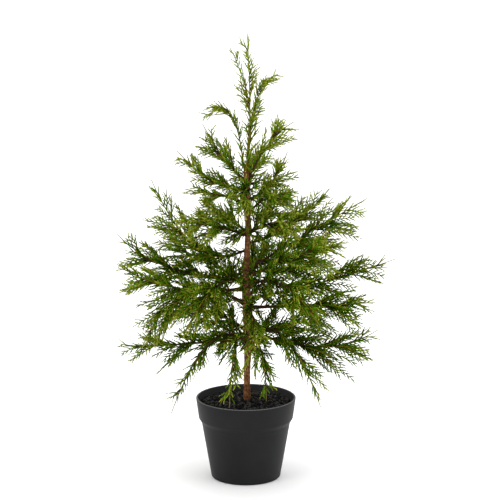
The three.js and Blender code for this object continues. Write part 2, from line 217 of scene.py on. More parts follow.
bpy.ops.mesh.primitive_plane_add(size=FLOOR_SIZE, location=(0, 0, -FLOOR_DROP))
floor = bpy.context.object
floor.name = "floor"
floor_finish = Finish("white sweep", Base_Color=FLOOR_WHITE, Roughness=0.7)
floor.data.materials.append(floor_finish.material)

sky = bpy.data.worlds.new("white sky")
sky.use_nodes = True
sky.node_tree.nodes["Background"].inputs["Color"].default_value = (1, 1, 1, 1)
sky.node_tree.nodes["Background"].inputs["Strength"].default_value = SKY_STRENGTH
bpy.context.scene.world = sky

for name, place, size, power, colour in LIGHTS:
    bpy.ops.object.light_add(type="AREA", location=place)
    light = bpy.context.object
    light.name = name
    light.rotation_euler = (AIM - Vector(place)).to_track_quat("-Z", "Y").to_euler()
    light.data.size = size
    light.data.energy = power
    light.data.color = colour
    light.visible_camera = False
bpy.ops.object.light_add(type="SUN", location=OVERHEAD_PLACE)
overhead = bpy.context.object
overhead.name = "overhead_light"
overhead.rotation_euler = (-Vector(OVERHEAD_PLACE)).to_track_quat("-Z", "Y").to_euler()
overhead.data.energy = OVERHEAD_STRENGTH
overhead.data.angle = math.radians(OVERHEAD_SPREAD)
print(len(LIGHTS) + 1, "lights")

# %% [markdown]
# ## The pot
#
# The pot is thin moulded plastic: a straight tapered body on a rounded foot, a small
# step near the top, and a plain band up to the lip. It is grown as a potter would, from
# a disc that is extruded and scaled ring by ring, up the outside, over the lip and down
# the inside. Each ring is a size in the list.

# %% Turn a shape from rings
RING_SEGMENTS = 128
MERGE = 0.001 * MM  # corners nearer than this are one


def select(*pieces):
    """Selects only these pieces, and makes the first the active one."""
    bpy.ops.object.select_all(action="DESELECT")
    for piece in pieces:
        piece.select_set(True)
    if pieces:
        bpy.context.view_layer.objects.active = pieces[0]


def clean_mesh(merge):
    """In edit mode: merges corners, turns faces outward and goes back to object mode."""
    bpy.ops.mesh.select_all(action="SELECT")
    bpy.ops.mesh.remove_doubles(threshold=merge)
    bpy.ops.mesh.normals_make_consistent(inside=False)
    bpy.ops.object.mode_set(mode="OBJECT")


def turned(name, rings, segments=RING_SEGMENTS):
    """A closed round shape through rings of (radius, height) in mm, disc first."""
    select()
    radius, height = rings[0]
    bpy.ops.mesh.primitive_circle_add(
        vertices=segments, radius=radius * MM, fill_type="NGON")
    piece = bpy.context.object
    piece.name = name
    bpy.ops.object.mode_set(mode="EDIT")
    bpy.ops.mesh.select_all(action="SELECT")
    bpy.ops.transform.translate(value=(0, 0, height * MM))
    for next_radius, next_height in rings[1:]:
        rise = (next_height - height) * MM
        growth = next_radius / radius
        bpy.ops.mesh.extrude_region_move(TRANSFORM_OT_translate={"value": (0, 0, rise)})
        bpy.ops.transform.resize(
            value=(growth, growth, 1), center_override=(0, 0, next_height * MM))
        radius, height = next_radius, next_height
    clean_mesh(MERGE)
    return piece


def smooth_sides(piece, angle):
    select(piece)
    bpy.ops.object.shade_smooth_by_angle(angle=math.radians(angle))


def arc(middle, size, start, end, steps):
    """Points on an arc about (radius, height), by angle from straight out to straight up."""
    angles = [math.radians(start + (end - start) * i / steps) for i in range(steps + 1)]
    radius, height = middle
    return [(radius + size * math.cos(a), height + size * math.sin(a)) for a in angles]


# %% Model the pot
POT_HEIGHT = 112
FOOT_RADIUS = 47.3
FOOT_ROUND = 2.4
FOOT_RING = 38  # the underside is hollowed a little inside this radius
FOOT_HOLLOW = 0.7
BODY_RADIUS, BODY_TOP = 60.8, 77.8
BAND_RADIUS, BAND_FOOT = 64.6, 83.6
LIP_RADIUS = 68.4
LIP_WIDTH = 2.6
LIP_ROUND = 1.1
LIP_INNER_ROUND = 0.7
WALL = 2.2
POT_CRISP = 28  # degrees: sharper edges than this stay edges

# Small steps in the list round off the ledge, the band's foot and the ring underneath.
body_lean = math.degrees(math.atan2(BODY_RADIUS - FOOT_RADIUS, BODY_TOP))
pot_rings = [
    (FOOT_RING - 1, FOOT_HOLLOW),
    (FOOT_RING, FOOT_HOLLOW),
    (FOOT_RING + 0.8, 0),
    *arc((FOOT_RADIUS - FOOT_ROUND + 0.4, FOOT_ROUND), FOOT_ROUND, -90, -body_lean, 6),
    (BODY_RADIUS - 0.1, BODY_TOP - 0.7),
    (BODY_RADIUS + 0.2, BODY_TOP),
    (BODY_RADIUS + 0.8, BODY_TOP + 0.8),
    (BAND_RADIUS - 0.9, BAND_FOOT - 1.2),
    (BAND_RADIUS - 0.2, BAND_FOOT - 0.4),
    (BAND_RADIUS + 0.1, BAND_FOOT + 0.4),
    *arc((LIP_RADIUS - LIP_ROUND, POT_HEIGHT - LIP_ROUND), LIP_ROUND, -body_lean, 90, 5),
    *arc((LIP_RADIUS - LIP_WIDTH + LIP_INNER_ROUND, POT_HEIGHT - LIP_INNER_ROUND),
         LIP_INNER_ROUND, 90, 180, 4),
    (BAND_RADIUS - WALL, BAND_FOOT),
    (BODY_RADIUS - WALL, BODY_TOP),
    (FOOT_RADIUS - WALL, WALL),
    (2, WALL),
]
pot = turned("pot_shell", pot_rings)
smooth_sides(pot, POT_CRISP)
print("pot:", len(pot.data.polygons), "faces")

# %% [markdown]
# ## The pot's finish
#
# Moulded plastic is nearly one colour, and is told by the soft spread of its highlight.
# A fine grain changes the roughness and tips the surface a little, and a wide cloud
# barely shifts the grey. A pale line along the lip is a painted highlight, and the inside
# of the wall near the top is painted paler, as painted light in its shade.

# %% Charcoal plastic


def dress(piece, slot, finish, *stood_for):
    """Gives a piece its finish, hangs it on the root body, and hides the CAD parts it stands for.
    """
    piece.data.materials.clear()
    piece.data.materials.append(finish.material)
    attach(piece, "root")
    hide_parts(*stood_for)


LIP_HIGHLIGHT = (0.993, 0.999)  # painted highlight: the lip is paler between these shares of the pot's height
INSIDE_LIGHT_FROM = (0.86, 0.88)  # the same shares, over which the inside of the wall is painted paler: painted light where it lies in shade
WALL_LEAN, WALL_MIDDLE = 0.12, 0.0536  # middle of the wall: its radius in m, plus a lean
INSIDE_GAIN = 3000  # brings the mask of the inside to the ramp's range
INSIDE_EDGE = (0.05, 0.2)
CLOUD_SCALE, PORE_SCALE = 22, 1400  # features to the metre
ROUGHNESS_LEAST, ROUGHNESS_SPREAD = 0.44, 0.08
PORE_DEPTH, PORE_STRENGTH = 0.06 * MM, 0.6

charcoal = Finish("charcoal plastic", Specular_IOR_Level=0.14)
cloud = charcoal.grain(CLOUD_SCALE, 2)
pores = charcoal.grain(PORE_SCALE, 2)
grey = charcoal.colours(cloud, [(0.3, paint(19, 19, 20)), (0.7, paint(26, 26, 27))])
x, y, z = (charcoal.place(axis) for axis in "XYZ")
height = z * (1 / (POT_HEIGHT * MM))
lip_highlight = charcoal.mask(height, LIP_HIGHLIGHT)
middle = z * WALL_LEAN + WALL_MIDDLE
within = charcoal.mask((middle * middle - (x * x + y * y)) * INSIDE_GAIN, INSIDE_EDGE)
high_up = charcoal.mask(height, INSIDE_LIGHT_FROM)
# painted light: the inside of the wall near the top is painted paler, against the shade it lies in
grey = charcoal.mixed(within * high_up, grey, paint(54, 54, 55))
# painted highlight: a pale line along the top of the lip stands for the light on it
charcoal.wear("Base Color", charcoal.mixed(lip_highlight, grey, paint(104, 104, 105)))
charcoal.wear("Roughness",
              cloud * ROUGHNESS_SPREAD + pores * ROUGHNESS_SPREAD + ROUGHNESS_LEAST)
charcoal.bumps(pores, PORE_DEPTH, PORE_STRENGTH)
dress(pot, "pot", charcoal, "pot")
print("pot finish:", len(charcoal.tree.nodes), "nodes")

# %% [markdown]
# ## The filling
#
# The pot is filled to just under its lip with nearly black crumbs, heaped a little
# towards the trunk. The heap is turned like the pot, and its top is roughened. On it
# lie some thousands of crumbs, each a little ball of twenty faces, squashed and knocked
# about. They are worked out as arrays, and each kind has its own plain colour.

# %% Model the heap
FILL_WALL = 100.2  # height where the crumbs meet the pot
FILL_CROWN = 107.4
FILL_RADIUS = 64.0
HEAP_STEEPNESS, HEAP_CURVE = 1.6, 0.8  # the mound is steep at the wall and flat on top
HEAP_ROUGHNESS = 0.9
HEAP_LUMPS = 420  # lumps to the metre
HEAP_RINGS, HEAP_SEGMENTS = 22, 96
HEAP_CRISP = 40
FILL_FOOT = 4  # height of the filling's underside, and its room at the foot
FILL_ROOM = 0.6  # between the filling and the wall, out of sight


def heap_height(radius):
    """Height of the filling at a distance from the middle, in mm."""
    inward = 1 - np.clip(radius / FILL_RADIUS, 0, 1)
    rise = np.clip(inward * HEAP_STEEPNESS, 0, 1) ** HEAP_CURVE
    return FILL_WALL + (FILL_CROWN - FILL_WALL) * rise


heap_rings = [
    (FOOT_RADIUS - FILL_FOOT, FILL_FOOT),
    (BODY_RADIUS - WALL - FILL_ROOM, BODY_TOP),
    (BAND_RADIUS - WALL - FILL_ROOM, BAND_FOOT),
]
for ring in range(HEAP_RINGS):
    ring_radius = FILL_RADIUS * (1 - ring / HEAP_RINGS)
    heap_rings.append((ring_radius, float(heap_height(ring_radius))))
heap = turned("filling_heap", heap_rings, HEAP_SEGMENTS)
for vertex in heap.data.vertices:
    inside = math.hypot(vertex.co.x, vertex.co.y) < (FILL_RADIUS - 1) * MM
    if vertex.co.z > FILL_WALL * MM and inside:
        vertex.co.z += smooth_noise.noise(vertex.co * HEAP_LUMPS) * HEAP_ROUGHNESS * MM
smooth_sides(heap, HEAP_CRISP)
print("heap:", len(heap.data.polygons), "faces")

# %% Join many small shapes into one mesh


def mesh_from_arrays(name, corners, triangles):
    """A piece from an array of corners in mm and one of triangles."""
    mesh = bpy.data.meshes.new(name)
    mesh.vertices.add(len(corners))
    mesh.vertices.foreach_set("co", (corners * MM).astype(np.float32).ravel())
    mesh.loops.add(triangles.size)
    mesh.loops.foreach_set("vertex_index", triangles.astype(np.int32).ravel())
    mesh.polygons.add(len(triangles))
    mesh.polygons.foreach_set("loop_start", np.arange(0, triangles.size, 3, dtype=np.int32))
    mesh.update(calc_edges=True)
    piece = bpy.data.objects.new(name, mesh)
    bpy.context.collection.objects.link(piece)
    return piece


def repeated(corners, triangles):
    """Joins n copies of one shape: corners are (n, m, 3), triangles are of one copy."""
    count, size = corners.shape[:2]
    shift = np.arange(count)[:, None, None] * size
    return corners.reshape(-1, 3), (triangles[None] + shift).reshape(-1, 3)


def unit(vectors):
    return vectors / np.linalg.norm(vectors, axis=-1, keepdims=True)


# %% Scatter the crumbs
SEED = 7  # of every random draw below
CRUMB_COUNT = 3000
CRUMB_SIZES = (1.2, 3.0)  # half widths, before the power
SIZE_POWER = 1.1  # over 1, so that large crumbs are larger still
CRUMB_LIFT = 1.6  # the highest that a crumb's middle stands over the mound
CRUMB_LIFTS = (-0.6, 1)  # shares of that lift
CRUMB_SQUASH = (0.45, 1.15)
CRUMB_KNOCKS = (0.7, 1.25)
TRUNK_HOLE = 0.006  # share of the area, round the trunk, that no crumb is centred in
CRUMB_KINDS = {  # share of the crumbs, colour, and how much they shine
    "black": (0.64, paint(8, 8, 7), 0.12),
    "grey": (0.28, paint(48, 48, 47), 0.4),
    "brown": (0.08, paint(56, 43, 34), 0.2),
}

random = np.random.default_rng(SEED)
select()
bpy.ops.mesh.primitive_ico_sphere_add(subdivisions=1, radius=1)
pattern = bpy.context.object
ball = np.array([vertex.co[:] for vertex in pattern.data.vertices])
ball_faces = np.array([face.vertices[:] for face in pattern.data.polygons])
bpy.ops.object.delete()

half = random.uniform(*CRUMB_SIZES, CRUMB_COUNT) ** SIZE_POWER
out = np.sqrt(random.uniform(TRUNK_HOLE, 1, CRUMB_COUNT)) * (FILL_RADIUS + 0.2 - half)
turn = random.uniform(0, 2 * np.pi, CRUMB_COUNT)
lift = random.uniform(*CRUMB_LIFTS, CRUMB_COUNT) * CRUMB_LIFT
middle = np.stack([out * np.cos(turn), out * np.sin(turn), heap_height(out) + lift], 1)
axes = unit(random.normal(size=(CRUMB_COUNT, 3)))
other = unit(np.cross(axes, random.normal(size=(CRUMB_COUNT, 3))))
basis = np.stack([axes, other, np.cross(axes, other)], 1)
squash = random.uniform(*CRUMB_SQUASH, (CRUMB_COUNT, 1, 3)) * half[:, None, None]
knocks = random.uniform(*CRUMB_KNOCKS, (CRUMB_COUNT, len(ball), 1))
crumbs = middle[:, None] + (ball * knocks * squash) @ basis
shares = [kind[0] for kind in CRUMB_KINDS.values()]
kind_of = random.choice(len(CRUMB_KINDS), CRUMB_COUNT, p=shares)
print(CRUMB_COUNT, "crumbs of", len(ball_faces), "faces")

# %% Finishes of the filling
for number, (kind, (_, colour, sheen)) in enumerate(CRUMB_KINDS.items()):
    crumb_finish = Finish(f"{kind} crumbs", Base_Color=colour, Roughness=0.7,
                          Specular_IOR_Level=sheen)
    chosen = crumbs[kind_of == number]
    dress(mesh_from_arrays(f"crumbs_{kind}", *repeated(chosen, ball_faces)),
          "filler", crumb_finish, "filler")
BED_SCALE = 380
BED_DEPTH = 0.8 * MM
heap_finish = Finish("dark bed", Roughness=0.9, Specular_IOR_Level=0.1)
bed = heap_finish.grain(BED_SCALE, 4)
heap_finish.wear("Base Color", heap_finish.colours(
    bed, [(0.35, paint(8, 8, 8)), (0.65, paint(26, 25, 24))]))
heap_finish.bumps(bed, BED_DEPTH)
dress(heap, "filler", heap_finish, "filler")
print("filling dressed")

# %% [markdown]
# ## The rule of growth
#
# Every spray of leaves hangs on one main stem, which leaves the trunk at a height and
# in a direction. The table and the formulas are the CAD model's, so the leaves grow
# where the solids say. Numbers from 0 to 1 come from a seed and a counter, so a twig
# has the same length and turn here as in the CAD source.

# %% The table of sprays
# Heights (at, tip), reach, arch, bow and the longest twig are in mm. The turn is in
# degrees from the right, seen from above, so 270 is to the front.
Spray = collections.namedtuple("Spray", "name held at turn reach tip arch bow twigs longest")
TABLE = """
leader_side top 424 180 22 590 7 -15 4 22
leader_left top 424 188 51 493 45 -6 4 19
leader_right top 424 -8 44 554 32 -9 6 24
high_right_front trunk 338 306 112 368 10 0 6 50
upper_left trunk 412 166 60 485 -9 0 4 52
wide_right bough 290 2 159 385 0 0 8 66
upper_right_low trunk 386 -12 54 451 -12 3 5 36
middle_back_right bough 252 44 178 302 8 -5 7 64
upper_back trunk 400 80 83 448 0 0 4 44
hanging_right trunk 184 295 58 124 34 13 4 22
middle_right_low bough 238 -18 176 257 0 8 8 62
middle_right bough 250 3 197 301 -5 0 6 58
high_right trunk 326 12 113 396 -14 0 7 52
low_back trunk 188 114 150 172 22 0 4 58
low_left_front bough 187 214 121 114 47 0 4 21
middle_left_low bough 240 190 142 192 46 8 8 62
wide_left_front bough 264 200 179 309 -13 13 7 56
low_back_right trunk 196 44 152 188 10 0 6 66
front_centre trunk 230 276 112 170 42 0 5 32
upper_right_side trunk 366 -36 78 398 10 -5 4 40
front_left bough 272 242 164 240 28 0 7 58
middle_back_left bough 268 142 165 306 9 -5 5 56
front_right bough 262 304 165 250 30 -5 6 56
high_back_left trunk 342 132 100 373 0 0 5 48
middle_back bough 256 80 180 290 14 0 6 58
low_right bough 207 -2 174 206 -23 8 7 60
upper_front trunk 392 264 76 378 18 0 4 40
high_left trunk 318 178 127 408 -44 3 7 74
low_back_left bough 204 134 170 216 10 -5 7 54
high_back_right trunk 334 60 116 384 7 0 6 52
wide_left bough 277 174 174 333 -17 11 7 54
upper_right trunk 408 -2 62 491 9 -4 5 48
upper_left_low trunk 398 190 93 453 -13 0 5 42
low_right_front bough 192 331 109 119 48 0 4 34
hanging_left trunk 200 248 66 118 34 10 4 24
wide_right_front bough 280 -30 152 342 4 0 6 66
low_left bough 197 178 177 182 -4 0 6 42
high_left_front trunk 336 222 120 370 5 0 7 52
upper_left_side trunk 372 198 88 399 8 -10 4 26
leader top 424 180 1 609 0 -3 5 23
"""


def read_row(line):
    name, held, *numbers = line.split()
    return Spray(name, held, *map(int, numbers))


SPRAYS = [read_row(line) for line in TABLE.strip().splitlines()]
print(len(SPRAYS), "sprays,", sum(spray.twigs for spray in SPRAYS), "twigs in the source")

# %% The trunk's line and girth
TRUNK_FOOT, TRUNK_TOP = 108.3, 424
TRUNK_FOOT_RADIUS, TRUNK_TOP_RADIUS = 4.5, 3.6
TRUNK_FOOT_X = 1.7
STRAIGHT_FOOT = 60
SIDE_WANDER = (1.2, 150, 163)  # its size, the height where it starts, and its wavelength
DEPTH_WANDER = (1.5, 60, 258)
FLARE, FLARE_HEIGHT = 1.6, 7
BUNDLE, BUNDLE_HEIGHT, BUNDLE_REACH = 1.9, 236, 62
UP = np.array([0.0, 0.0, 1.0])


def wander(z, size, start, wavelength):
    return size * np.sin(2 * np.pi * (z - start) / wavelength)


def trunk_centre(z):
    """Middle of the trunk at a height. It wanders by a millimetre or two."""
    z = np.asarray(z, float)
    start = np.minimum(1, (z - TRUNK_FOOT) / STRAIGHT_FOOT)
    x = TRUNK_FOOT_X + wander(z, *SIDE_WANDER) * start
    return np.stack([x, wander(z, *DEPTH_WANDER), z], -1)


def from_trunk(points):
    """Distance of points from the middle of the trunk at their height."""
    return np.hypot(*(points - trunk_centre(points[:, 2]))[:, :2].T)


def trunk_radius(z):
    share = (z - TRUNK_FOOT) / (TRUNK_TOP - TRUNK_FOOT)
    taper = TRUNK_FOOT_RADIUS + (TRUNK_TOP_RADIUS - TRUNK_FOOT_RADIUS) * share
    flare = FLARE * np.exp(-(z - TRUNK_FOOT) / FLARE_HEIGHT)
    return taper + flare + BUNDLE * np.exp(-(((z - BUNDLE_HEIGHT) / BUNDLE_REACH) ** 4))


# %% The stem of each spray
BARE_SHARE = {"top": 0.04, "trunk": 0.13, "bough": 0.2}
TOP_RING = 2.3
GAP = 0.3
SMALL_STEP = 0.01
AXIS_STEPS = 12


def counted(seed, k):
    """A repeatable number from 0 to 1 for a seed and a counter."""
    x = math.sin(seed * 127.1 + k * 311.7) * 43758.5453
    return x - math.floor(x)


def outward(spray):
    angle = math.radians(spray.turn)
    return np.array([math.cos(angle), math.sin(angle), 0.0])


def stem_point(spray, t):
    """Points on a spray's line, from 0 in the trunk to 1 at its tip."""
    t = np.asarray(t, float)[..., None]
    start = trunk_centre(spray.at)
    if spray.held == "top":
        on_ring = math.radians(90 + 90 * SPRAYS.index(spray))
        start = start + [TOP_RING * math.cos(on_ring), TOP_RING * math.sin(on_ring), GAP]
    hump = 4 * t * (1 - t)
    out = outward(spray) * (spray.reach * t + spray.bow * hump)
    return start + out + UP * ((spray.tip - spray.at) * t + spray.arch * hump)


def stem_direction(spray, t):
    return unit(stem_point(spray, t + SMALL_STEP) - stem_point(spray, t - SMALL_STEP))


def line_of(spray, start, end, steps=AXIS_STEPS):
    return stem_point(spray, np.linspace(start, end, steps + 1))


def length_of(line):
    return np.linalg.norm(np.diff(line, axis=0), axis=1).sum()


AXES = np.array([line_of(spray, BARE_SHARE[spray.held], 1) for spray in SPRAYS])
BARE = np.array([line_of(spray, 0, BARE_SHARE[spray.held])
                 for spray in SPRAYS if spray.held != "top"])
print("longest leafy stem:", round(max(length_of(axis) for axis in AXES)), "mm")

# %% Room for the leaves
SPACE_MARGIN = 0.8
LIMB_MARGIN = 1.0
POT_MARGIN = 3.0
BOUGH_ROOT_RADIUS, BOUGH_TIP_RADIUS = 2.5, 1.9
AT_ONCE = 2000  # points measured together, to keep the arrays small


def distance_to_lines(points, lines):
    """Distance of n points to each of m lines of short stretches, as an (n, m) array."""
    starts, ends = lines[:, :-1].reshape(-1, 3), lines[:, 1:].reshape(-1, 3)
    stretch = ends - starts
    square = (stretch**2).sum(1)
    found = []
    for first in range(0, len(points), AT_ONCE):
        to_point = points[first:first + AT_ONCE, None] - starts
        t = np.clip((to_point * stretch).sum(2) / square, 0, 1)
        away = np.linalg.norm(to_point - stretch * t[..., None], axis=2)
        found.append(away.reshape(len(away), len(lines), -1).min(2))
    return np.concatenate(found)


def has_room(points, owner, extra):
    """Whether points of the owner's mass keep clear of pot, limbs and other masses."""
    radius = np.hypot(points[:, 0], points[:, 1])
    over_crumbs = radius < LIP_RADIUS - LIP_WIDTH - POT_MARGIN
    floor_height = np.where(over_crumbs, TRUNK_FOOT - GAP, POT_HEIGHT)
    clear = points[:, 2] > floor_height + POT_MARGIN
    above_trunk = points[:, 2] >= TRUNK_TOP + LIMB_MARGIN
    wood = trunk_radius(points[:, 2]) + LIMB_MARGIN + extra
    clear &= above_trunk | (from_trunk(points) >= wood)
    room = BOUGH_ROOT_RADIUS + LIMB_MARGIN + extra
    clear &= (distance_to_lines(points, BARE) > room).all(1)
    away = distance_to_lines(points, AXES)
    rows = np.arange(len(points))
    own = away[rows, owner] + SPACE_MARGIN
    away[rows, owner] = np.inf
    return clear & (own < away.min(1))


# %% [markdown]
# ## Trunk and boughs
#
# The trunk is a rod wrapped in brown fibrous plastic. It is thickest in the middle,
# where the boughs are wired on, and spreads a little at the crumbs. Each limb is a
# curve with a radius at every point, turned into a mesh. The ridges are pushed out of
# the mesh itself, so its outline is rough too.

# %% Make limbs from curves
BARK_GRAIN = 0.55  # height of the ridges
STRANDS, LUMPS = 0.6, 0.5  # shares of that height
STRAND_LENGTH = 0.3  # under 1, as the strands run along the limb
FINE_GRAIN, TRUNK_LUMPS, BOUGH_LUMPS = 0.9, 0.28, 0.5  # features to the mm
LIMB_MERGE = 0.002 * MM
SOFT = 60  # degrees: only sharper edges than this stay edges
TRUNK_STEP = 1.1
TRUNK_SIDES, BOUGH_SIDES = 40, 16
TRUNK_ROUGHER = 1.5  # the trunk's ridges are so much higher than a bough's
BURIED = 2.5  # length of trunk below its foot in the CAD model, hidden in the crumbs


def limb(name, line, radii, sides):
    """A round closed bar along a line of points, in mm."""
    curve = bpy.data.curves.new(name, "CURVE")
    curve.dimensions = "3D"
    curve.bevel_depth = 1.0
    curve.bevel_resolution = sides // 4 - 1
    curve.use_fill_caps = True
    spline = curve.splines.new("POLY")
    spline.points.add(len(line) - 1)
    for point, place, radius in zip(spline.points, line, radii):
        point.co = (*(place * MM), 1)
        point.radius = radius * MM
    piece = bpy.data.objects.new(name, curve)
    bpy.context.collection.objects.link(piece)
    select(piece)
    bpy.ops.object.convert(target="MESH")
    bpy.ops.object.mode_set(mode="EDIT")
    clean_mesh(LIMB_MERGE)
    return bpy.context.object


def roughen(piece, height, fine, coarse):
    """Pushes fibrous ridges out of a limb's mesh."""
    for vertex in piece.data.vertices:
        place = vertex.co / MM
        strands = smooth_noise.noise(Vector((place.x, place.y, place.z * STRAND_LENGTH)) * fine)
        lumps = smooth_noise.noise(place * coarse)
        vertex.co += vertex.normal * (strands * STRANDS + lumps * LUMPS) * height * MM


trunk_heights = np.arange(TRUNK_FOOT - BURIED, TRUNK_TOP + 0.2, TRUNK_STEP)
trunk = limb("trunk_bark", trunk_centre(trunk_heights), trunk_radius(trunk_heights), TRUNK_SIDES)
roughen(trunk, BARK_GRAIN * TRUNK_ROUGHER, FINE_GRAIN, TRUNK_LUMPS)
smooth_sides(trunk, SOFT)
print("trunk:", len(trunk.data.polygons), "faces")

# %% Model the boughs
BOUGH_STEPS = 40
COLLAR = 0.9  # extra girth where a bough leaves the trunk
COLLAR_PLACE, COLLAR_REACH = 6, 9

bough_names = [f"bough_{spray.name}" for spray in SPRAYS if spray.held == "bough"]
boughs = []
for spray in SPRAYS:
    if spray.held == "bough":
        share = BARE_SHARE[spray.held]
        bare_line = line_of(spray, 0, share, BOUGH_STEPS)
        along = np.linspace(0, 1, BOUGH_STEPS + 1)
        from_root = along * length_of(bare_line)
        girth = BOUGH_ROOT_RADIUS + (BOUGH_TIP_RADIUS - BOUGH_ROOT_RADIUS) * along
        girth = girth + COLLAR * np.exp(-(((from_root - COLLAR_PLACE) / COLLAR_REACH) ** 2))
        bough = limb(f"bark_{spray.name}", bare_line, girth, BOUGH_SIDES)
        roughen(bough, BARK_GRAIN, FINE_GRAIN, BOUGH_LUMPS)
        boughs.append(bough)
select(*boughs)
bpy.ops.object.join()
all_boughs = bpy.context.object
all_boughs.name = "bough_bark"
smooth_sides(all_boughs, SOFT)
print("boughs:", len(boughs), "limbs,", len(all_boughs.data.polygons), "faces")

# %% Brown wrapped bark
BARK_TONES = [  # from the hollows to the ridges
    (0.36, (48, 28, 14)), (0.46, (98, 62, 37)), (0.55, (136, 90, 56)), (0.66, (180, 130, 88)),
]
BOUGH_SHADE = 0.55  # painted shade: the boughs, inside the crown, are painted darker than the trunk
BARK_DEPTH = 0.7 * MM


def bark_finish(name, share):
    """The fibrous wrap in tones that are a share of the trunk's; a share under 1 is painted shade.
    """
    bark = Finish(name, Roughness=0.86, Specular_IOR_Level=0.15)
    fibres = bark.grain(620, 5, (1, 1, STRAND_LENGTH))
    flecks = bark.grain(300, 3)
    patches = bark.grain(60, 2)
    tone = fibres * 0.4 + flecks * 0.4 + patches * 0.2
    tones = [(at, paint(*(share * level for level in colour))) for at, colour in BARK_TONES]
    bark.wear("Base Color", bark.colours(tone, tones))
    bark.bumps(fibres * 0.6 + flecks * 0.4, BARK_DEPTH)
    return bark


dress(trunk, "bark", bark_finish("brown wrapped bark", 1), "trunk")
# the boughs' bark is painted darker, as painted shade
dress(all_boughs, "bark", bark_finish("bough bark with painted shade", BOUGH_SHADE), *bough_names)
print("bark dressed")

# %% [markdown]
# ## Twigs
#
# A spray is a feather of feathers. Its stem carries twigs, each twig carries short
# branchlets on both sides, and each branchlet carries the leaves. The CAD source's
# twigs are grown by the same rule, and finer ones between them. A twig stops where it
# would leave its own mass's room.

# %% Grow the twigs
FINE = 6  # twigs here for each twig of the source
TWIG_SHORTEST = 13
FILLING_SHARE = 0.93  # length of a twig that the source hasn't got
OPEN_FROM = 0.68  # share of a stem from which few twigs are added
OPEN_STEP = 3
TWIG_POINTS = 15
TWIG_ROOT_RADIUS = 1.15
FIRST_TWIG = 0.35  # place of the first twig, in steps between twigs
STEM_SHARE = 0.9  # share of the leafy stem that carries twigs
TWIG_TURN, TURN_RANGE = 137.5, 50  # degrees round the stem from one twig to the next
SPREAD, SPREAD_RANGE = 30, 12  # degrees between a twig and its stem
ROOM_SHARE, ROOM_SPARE = 0.66, 6  # twigs shorten towards the tip of their stem
LEAST_SIZE, SIZE_RANGE = 0.86, 0.24
PULL, DROOP = 0.12, 0.18  # a twig swings to the line of its stem, and droops
STEM_STEPS = 40
ANGLE_COUNTER, SIZE_COUNTER, FLAT_COUNTER = 50, 100, 150  # keep the numbers apart
WHISKER_SHARE = 0.4  # of the twigs end in a bare whisker
TIP_SPARE = {"top": 0, "trunk": 0.02, "bough": 0.025}  # share that the wire goes past its end

Path = collections.namedtuple("Path", "owner line side length kind young")


def bent_line(root, heading, along, wanted, pull, droop):
    """A twig's points, swung to the line of its stem and drooping."""
    q = (wanted * np.arange(TWIG_POINTS) / (TWIG_POINTS - 1))[:, None]
    return root + heading * q + (along * pull - UP * droop) * q**2 / wanted


def cut_line(line, wanted, open_to):
    """A twig up to where it has no room, or None where that is too short."""
    last = TWIG_POINTS - len(open_to) - 1
    last += len(open_to) if open_to.all() else int(np.argmin(open_to))
    if last < 2 or wanted * last / (TWIG_POINTS - 1) < TWIG_SHORTEST:
        return None
    return line[:last + 1]


def twig_path(index, k):
    """The line of a spray's k-th twig, cut where it has no room, or None."""
    spray, seed = SPRAYS[index], index + 1
    share = BARE_SHARE[spray.held]
    u = (k + FIRST_TWIG) / spray.twigs * STEM_SHARE
    t = share + (1 - share) * u
    root, along = stem_point(spray, t), stem_direction(spray, t)
    side = np.cross(UP, outward(spray))
    above = np.cross(along, side)
    roll = math.radians(k * TWIG_TURN + counted(seed, k) * TURN_RANGE)
    away = side * math.cos(roll) + above * math.sin(roll)
    angle = math.radians(SPREAD + SPREAD_RANGE * counted(seed, k + ANGLE_COUNTER))
    heading = along * math.cos(angle) + away * math.sin(angle)
    room = length_of(line_of(spray, t, 1)) * ROOM_SHARE + ROOM_SPARE
    wanted = min(spray.longest, room) * (LEAST_SIZE + SIZE_RANGE * counted(seed, k + SIZE_COUNTER))
    if k != int(k):
        wanted *= FILLING_SHARE
    line = bent_line(root, heading, along, wanted, PULL, DROOP)
    open_to = has_room(line[2:], np.full(TWIG_POINTS - 2, index), TWIG_ROOT_RADIUS)
    line = cut_line(line, wanted, open_to)
    if line is None:
        return None
    flat = math.radians(180 * counted(seed, k + FLAT_COUNTER))
    across = unit(np.cross(away, heading))
    blade = across * math.cos(flat) + np.cross(heading, across) * math.sin(flat)
    return Path(index, line, blade, length_of(line), "twig", u)


paths = []
for index, spray in enumerate(SPRAYS):
    share = BARE_SHARE[spray.held]
    start = share if spray.held == "bough" else 0
    stem = line_of(spray, start, 1 + TIP_SPARE[spray.held], STEM_STEPS)
    side = np.cross(UP, outward(spray))
    paths.append(Path(index, stem, side, length_of(stem), "stem", 0))
    for step in range(spray.twigs * FINE):
        near_tip = step > OPEN_FROM * spray.twigs * FINE
        if near_tip and step % FINE and step % OPEN_STEP:
            continue
        path = twig_path(index, step / FINE)
        if path:
            paths.append(path)
print(len(paths) - len(SPRAYS), "twigs on", len(SPRAYS), "stems")

# %% Grow short twigs over the bare boughs
INNER_TWIGS = {"trunk": 6, "bough": 12}
INNER_LENGTH = (22, 40)
INNER_ANGLE = (46, 78)
INNER_FIRST, INNER_RUN = 0.3, 0.9  # where they stand, in shares of the bare length
INNER_PULL, INNER_DROOP = 0.3, 0.1
INNER_OVERLAP = 3  # how much nearer they may be to another line than to their own
INNER_ROOT = 5  # points at the root that need no room
ROLL_COUNTER, TILT_COUNTER, LENGTH_COUNTER = 200, 250, 300
LINE_STEPS = 16
FULL_LINES = np.array([line_of(spray, 0, 1, LINE_STEPS) for spray in SPRAYS])


def between(ends, share):
    return ends[0] + (ends[1] - ends[0]) * share


